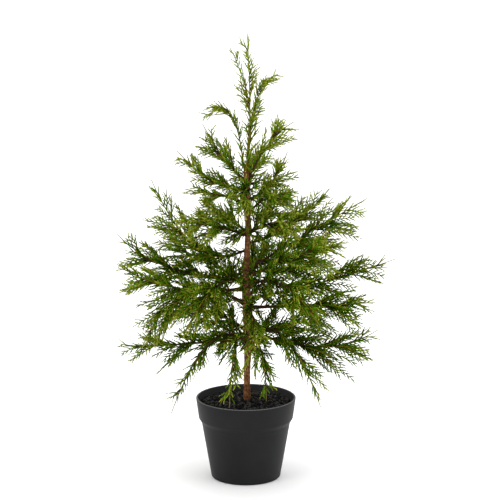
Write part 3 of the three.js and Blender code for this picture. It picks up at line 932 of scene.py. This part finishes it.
def inner_room(points, owner):
    """Whether points keep clear of trunk and pot, and aren't much nearer to another line."""
    away = distance_to_lines(points, FULL_LINES)
    own = away[:, owner].copy()
    away[:, owner] = np.inf
    clear = from_trunk(points) > trunk_radius(points[:, 2]) + LIMB_MARGIN
    clear &= points[:, 2] > POT_HEIGHT + POT_MARGIN
    return clear & (own < away.min(1) + INNER_OVERLAP)


for index, spray in enumerate(SPRAYS):
    if spray.held == "top":
        continue
    share = BARE_SHARE[spray.held]
    count = INNER_TWIGS[spray.held]
    for k in range(count):
        t = share * (INNER_FIRST + INNER_RUN * k / count)
        root, along = stem_point(spray, t), stem_direction(spray, t)
        side = np.cross(UP, outward(spray))
        roll = math.radians(k * TWIG_TURN + 360 * counted(index + 1, k + ROLL_COUNTER))
        away = side * math.cos(roll) + np.cross(along, side) * math.sin(roll)
        angle = math.radians(between(INNER_ANGLE, counted(index + 1, k + TILT_COUNTER)))
        heading = along * math.cos(angle) + away * math.sin(angle)
        wanted = between(INNER_LENGTH, counted(index + 1, k + LENGTH_COUNTER))
        line = bent_line(root, heading, along, wanted, INNER_PULL, INNER_DROOP)
        line = cut_line(line, wanted, inner_room(line[INNER_ROOT:], index))
        if line is not None:
            across = unit(np.cross(away, heading))
            paths.append(Path(index, line, across, length_of(line), "inner", 0))
print(len(paths) - len(SPRAYS), "twigs with the inner ones")

# %% [markdown]
# ## Branchlets and leaves
#
# Branchlets stand every few millimetres along a twig, left and right by turns, and
# point forward. The leaves on them are slender spindles, pointed at both ends, a few
# faces each. All of a kind are worked out together as arrays.

# %% Grow the branchlets
PITCH = 3.6
BRANCHLET = (7.0, 11.5)
BRANCHLET_ANGLE = (32, 46)
STEM_BRANCHLET = 1.4  # branchlets are longer on a stem than on a twig
OUT_OF_PLANE = 26  # degrees that a branchlet may leave the flat of its twig
STEM_OUT_OF_PLANE = 80  # the same on a stem, which has them all round
PITCH_SPREAD = 0.6
FIRST_BRANCHLET = 5.0
TIP_LIGHT, STEM_TIP_LIGHT = 0.42, 0.4  # paler to the tip of a twig, and of its stem
STEM_WHISKER = {"top": 9, "trunk": 17, "bough": 23}  # bare lengths at the tips
TWIG_WHISKER, TWIG_END = 9, 3  # bare lengths of a twig that has a whisker, or none
TAPER = 0.55  # share of their length that branchlets lose towards a twig's tip
SHARES = (1, 0.8, 0.6, 0.42)  # sizes tried for a branchlet in turn
ROOM_PLACES = (0.6, 1)  # places along it where its room is tested
ROOM_MARGIN = 0.2


def along_path(path, q):
    """Points and directions at distances along a path."""
    steps = np.linalg.norm(np.diff(path.line, axis=0), axis=1)
    marks = np.concatenate([[0], np.cumsum(steps)])
    points = np.stack([np.interp(q, marks, path.line[:, axis]) for axis in range(3)], 1)
    stretch = np.clip(np.searchsorted(marks, q) - 1, 0, len(steps) - 1)
    return points, unit(np.diff(path.line, axis=0)[stretch])


roots, headings, sizes, owners, aheads, lights, inner = [], [], [], [], [], [], []
for path in paths:
    spray = SPRAYS[path.owner]
    whisker = TWIG_WHISKER if random.random() < WHISKER_SHARE else TWIG_END
    if path.kind == "stem":
        whisker = STEM_WHISKER[spray.held]
    first = FIRST_BRANCHLET
    if path.kind == "stem" and spray.held != "bough":
        first = BARE_SHARE[spray.held] * path.length
    q = np.arange(first, path.length - whisker, PITCH)
    if len(q) == 0:
        continue
    q = q + random.uniform(-PITCH_SPREAD, PITCH_SPREAD, len(q))
    point, ahead = along_path(path, q)
    side = unit(path.side - ahead * (ahead @ path.side)[:, None])
    lean = np.radians(random.uniform(-OUT_OF_PLANE, OUT_OF_PLANE, len(q)))
    if path.kind == "stem":
        lean = np.radians(random.uniform(-STEM_OUT_OF_PLANE, STEM_OUT_OF_PLANE, len(q)))
    hand = np.where(np.arange(len(q)) % 2, 1, -1)[:, None]
    sideways = side * np.cos(lean)[:, None] * hand
    sideways = sideways + np.cross(ahead, side) * np.sin(lean)[:, None]
    angle = np.radians(random.uniform(*BRANCHLET_ANGLE, len(q)))[:, None]
    roots.append(point)
    headings.append(ahead * np.cos(angle) + sideways * np.sin(angle))
    aheads.append(ahead)
    to_tip = q / path.length
    longer = STEM_BRANCHLET if path.kind == "stem" else 1
    sizes.append(longer * random.uniform(*BRANCHLET, len(q)) * (1 - TAPER * to_tip**2))
    owners.append(np.full(len(q), path.owner))
    lights.append(TIP_LIGHT * to_tip + STEM_TIP_LIGHT * path.young)
    inner.append(np.full(len(q), path.kind == "inner"))
roots, headings, sizes, owners, aheads, lights, inner = map(
    np.concatenate, (roots, headings, sizes, owners, aheads, lights, inner))


def clear_of_wood(points):
    """Whether points lie outside the trunk and over the pot."""
    clear = from_trunk(points) > trunk_radius(points[:, 2]) + LIMB_MARGIN
    return clear & (points[:, 2] > POT_HEIGHT)


room_share = np.zeros(len(roots))
for share in SHARES[::-1]:
    fits = np.ones(len(roots), bool)
    for part in ROOM_PLACES:
        reached = roots + headings * (sizes * share * part)[:, None]
        fits &= has_room(reached, owners, ROOM_MARGIN) | inner & clear_of_wood(reached)
    room_share[fits] = share
keep = room_share > 0
roots, headings, aheads = roots[keep], headings[keep], aheads[keep]
owners, lights = owners[keep], lights[keep]
sizes = sizes[keep] * room_share[keep]
print(len(roots), "branchlets")

# %% Grow the leaves
LEAF_PLACES = (0.24, 0.43, 0.61, 0.8)
LEAF_LENGTH = (3.3, 4.9)
LEAF_ANGLE = (7, 20)
LEAF_WIDTH = 1.02  # half widths
LEAF_THICKNESS = 0.7
BRANCHLET_GIRTH = (1.0, 0.85)
BRANCHLET_RINGS = (0.05, 0.6)  # where along a branchlet those radii are
LEAF_WIDEST = 0.38  # place of a leaf's widest ring
BEND = 0.14  # how far a branchlet swings to the line of its twig
LEAF_TURN_SPREAD = 35  # degrees
TIP_LEAF_ANGLE = 0.15  # the last leaf stands nearly straight on
OUTER_LIGHT = 0.1  # leaves are paler to the tip of their branchlet
SMALLEST_LEAF = 0.6  # share of its length that a leaf keeps on the smallest branchlets
BRANCHLET_LUCK = 0.6  # the leaves of a branchlet are paler or darker together

bend = aheads * (sizes * BEND)[:, None]
tips = roots + headings * sizes[:, None] + bend
normal = unit(np.cross(headings, aheads))
luck = random.uniform(-1, 1, len(roots)) * BRANCHLET_LUCK / 2
leaf_roots, leaf_headings, leaf_owners, leaf_lights, leaf_sizes = [], [], [], [], []
for number, place in enumerate((*LEAF_PLACES, 1.0)):
    count = len(roots)
    on_line = roots + headings * (sizes * place)[:, None] + bend * place**2
    forward = unit(headings + bend * 2 * place / sizes[:, None])
    roll = np.radians(90 * (number % 2) + 180 * (number // 2 % 2)
                      + random.uniform(-LEAF_TURN_SPREAD, LEAF_TURN_SPREAD, count))
    sideways = unit(np.cross(forward, normal)) * np.cos(roll)[:, None]
    sideways = sideways + normal * np.sin(roll)[:, None]
    angle = np.radians(random.uniform(*LEAF_ANGLE, count))[:, None]
    if place == 1:
        angle = angle * TIP_LEAF_ANGLE
    leaf_roots.append(on_line)
    leaf_headings.append(forward * np.cos(angle) + sideways * np.sin(angle))
    leaf_owners.append(owners)
    leaf_lights.append(lights + luck + OUTER_LIGHT * place)
    growth = SMALLEST_LEAF + (1 - SMALLEST_LEAF) * sizes / sizes.max()
    leaf_sizes.append(random.uniform(*LEAF_LENGTH, count) * growth)
leaf_roots, leaf_headings, leaf_owners, leaf_lights, leaf_sizes = map(
    np.concatenate, (leaf_roots, leaf_headings, leaf_owners, leaf_lights, leaf_sizes))
print(len(leaf_roots), "leaves")

# %% Shape spindles from arrays


def spindles(lines, radii, across, flatness, sides):
    """Closed pointed bars: lines are (n, m, 3), radii (n, m - 2) of the rings between."""
    count, points = lines.shape[:2]
    rings = points - 2
    ahead = unit(lines[:, 2:] - lines[:, :-2])
    wide = unit(across[:, None] - ahead * (ahead * across[:, None]).sum(2, keepdims=True))
    deep = np.cross(ahead, wide) * flatness
    angles = 2 * np.pi * np.arange(sides) / sides
    spread = wide[:, :, None] * np.cos(angles)[:, None]
    spread = spread + deep[:, :, None] * np.sin(angles)[:, None]
    circles = lines[:, 1:-1, None] + spread * radii[:, :, None, None]
    corners = [lines[:, :1], circles.reshape(count, rings * sides, 3), lines[:, -1:]]
    faces, tip = [], rings * sides + 1
    for i in range(sides):
        j = (i + 1) % sides
        faces.append((0, 1 + j, 1 + i))
        for ring in range(rings - 1):
            low, high = 1 + ring * sides, 1 + (ring + 1) * sides
            faces.append((low + i, low + j, high + j))
            faces.append((low + i, high + j, high + i))
        last = 1 + (rings - 1) * sides
        faces.append((last + i, last + j, tip))
    return np.concatenate(corners, 1), np.array(faces)


leaf_line = np.stack([leaf_roots,
                      leaf_roots + leaf_headings * (leaf_sizes * LEAF_WIDEST)[:, None],
                      leaf_roots + leaf_headings * leaf_sizes[:, None]], 1)
leaf_across = unit(np.cross(leaf_headings, random.normal(size=leaf_headings.shape)))
leaf_girth = np.full((len(leaf_roots), 1), LEAF_WIDTH)
leaf_corners, leaf_faces = spindles(
    leaf_line, leaf_girth, leaf_across, LEAF_THICKNESS / LEAF_WIDTH, 3)

near, far = BRANCHLET_RINGS
branchlet_line = np.stack([roots, roots + headings * (sizes * near)[:, None],
                           roots + headings * (sizes * far)[:, None] + bend * far**2, tips], 1)
branchlet_girth = np.tile(BRANCHLET_GIRTH, (len(roots), 1))
branchlet_corners, branchlet_faces = spindles(
    branchlet_line, branchlet_girth, normal, 1, 3)
print(len(leaf_corners) * len(leaf_faces), "leaf faces,",
      len(branchlet_corners) * len(branchlet_faces), "branchlet faces")

# %% [markdown]
# ## Greens
#
# The leaves are moulded in a few greens that differ from spray to spray. Each green is
# a plain finish of its own, and they are dealt out leaf by leaf: a spray has its share
# of luck, and growth near a tip leans to the paler ones. Sprays at the front, at the top
# and low down lean to the paler ones too, as painted light.

# %% Deal out the greens
GREENS = {  # of the branchlets, and of the leaves on them, which are yellower
    "shade": (paint(28, 54, 0), paint(36, 52, 0)),
    "deep": (paint(40, 81, 0), paint(48, 74, 0)),
    "leaf": (paint(55, 104, 4), paint(68, 98, 5)),
    "fresh": (paint(78, 124, 14), paint(91, 120, 22)),
    "young": (paint(116, 147, 32), paint(141, 147, 50)),
}
SPRAY_LUCK = 0.34
LIT = {  # painted light: sprays at the front, which face the light, are dealt paler greens than the rest
    "front_centre": 0.06, "hanging_left": 0.04, "hanging_right": 0.02, "front_right": 0.1,
    "wide_left_front": 0.08, "high_right_front": 0.06,
}
HIGH_LIT = 0.6  # painted light: the same for a spray that ends at the very top, where less shade falls
HIGH_CURVE = 0.65  # under 1: the gain is steepest just over LIT_FROM
LIT_FROM = 290  # sprays that end higher than this are dealt paler greens, as painted light
LOW_LIT, LOW_END = 0.1, 230  # painted light: the same for the sprays that end lower than this
LEAF_LUCK = 0.16
BASE_LIGHT = 0.12  # added to all
LIGHT_TOP = 0.999  # under 1, so that the palest green is the last
BRANCHLET_SHADE = 0.15  # branchlets are darker than the leaves on them
LEAF_ROUGHNESS = 0.6


def deal(lights, owners):
    """The number of the green for each leaf or branchlet."""
    lit = np.array([LIT.get(spray.name, 0) for spray in SPRAYS])
    ends = np.array([spray.tip for spray in SPRAYS])
    high = np.clip((ends - LIT_FROM) / (ends.max() - LIT_FROM), 0, 1)
    # painted light: sprays that end high up or low down are dealt paler greens
    lit = lit + HIGH_LIT * high**HIGH_CURVE
    lit = lit + LOW_LIT * (ends < LOW_END)
    shared = (random.uniform(-1, 1, len(SPRAYS)) * SPRAY_LUCK / 2 + lit)[owners]
    own = random.uniform(-1, 1, len(lights)) * LEAF_LUCK / 2
    share = np.clip(BASE_LIGHT + lights + shared + own, 0, LIGHT_TOP)
    return (share * len(GREENS)).astype(int)


foliage_names = [f"foliage_{spray.name}" for spray in SPRAYS]


def foliage_piece(name, finish, corners, faces):
    piece = mesh_from_arrays(name, *repeated(corners, faces))
    dress(piece, "foliage", finish, *foliage_names)
    smooth_sides(piece, SOFT)
    print(name, len(piece.data.polygons), "triangles")


leaf_kind = deal(leaf_lights, leaf_owners)
branchlet_kind = deal(lights + luck - BRANCHLET_SHADE, owners)
for number, (name, colours) in enumerate(GREENS.items()):
    for kind, colour, corners, faces, dealt in (
            ("branchlets", colours[0], branchlet_corners, branchlet_faces, branchlet_kind),
            ("leaves", colours[1], leaf_corners, leaf_faces, leaf_kind)):
        green = Finish(f"{name} green {kind}", Base_Color=colour,
                       Roughness=LEAF_ROUGHNESS, Specular_IOR_Level=0)
        foliage_piece(f"{kind}_{name}", green, corners[dealt == number], faces)

# %% Stems and twigs
ROD_POINTS = 8
STEM_ROOT = {"top": 1.25, "trunk": 1.9, "bough": 1.9}  # radii in mm
TWIG_ROOT, ROD_TIP = 1.0, 0.45
BLUNT_ROOT = 0.004  # share of a path that its rounded root takes
BLUNT_TIP = 0.8  # length in mm of the pointed end
TWIG_BROWN, STEM_BROWN = 0.3, 0.5  # shares from the root that are brown
OVERLAP, TIP_OVERLAP = 0.06, 0.03  # shares that two colours lie in each other
ROD_SIDES = 5
ROD_COLOURS = {"brown": (52, 40, 14), "olive": (104, 96, 12), "tan": (104, 94, 34)}
rods = {colour: [] for colour in ROD_COLOURS}


def rod_parts(path):
    """The colours along a path, each with the share where it starts and ends."""
    held = SPRAYS[path.owner].held
    if path.kind != "stem":
        return [("brown", 0.0, TWIG_BROWN), ("olive", TWIG_BROWN - OVERLAP, 1.0)]
    bare = 1 - STEM_WHISKER[held] / path.length
    tip = ("tan", bare - TIP_OVERLAP, 1.0)
    if held == "top":
        return [("olive", 0.0, bare), tip]
    return [("brown", 0.0, STEM_BROWN), ("olive", STEM_BROWN - OVERLAP, bare), tip]


for path in paths:
    root = STEM_ROOT[SPRAYS[path.owner].held] if path.kind == "stem" else TWIG_ROOT
    for part, start, end in rod_parts(path):
        marks = np.linspace(start, end, ROD_POINTS)
        marks[1] = start + BLUNT_ROOT
        marks[-2] = end - BLUNT_TIP / path.length
        points, _ = along_path(path, marks * path.length)
        radius = root + (ROD_TIP - root) * marks
        rods[part].append((points, radius[1:-1], path.side))
for part, colour in ROD_COLOURS.items():
    lines, girths, across = (np.array(values) for values in zip(*rods[part]))
    rod_corners, rod_faces = spindles(lines, girths, across, 1, ROD_SIDES)
    rod_finish = Finish(f"{part} stems", Base_Color=paint(*colour), Roughness=0.6,
                        Specular_IOR_Level=0.1)
    foliage_piece(f"stems_{part}", rod_finish, rod_corners, rod_faces)
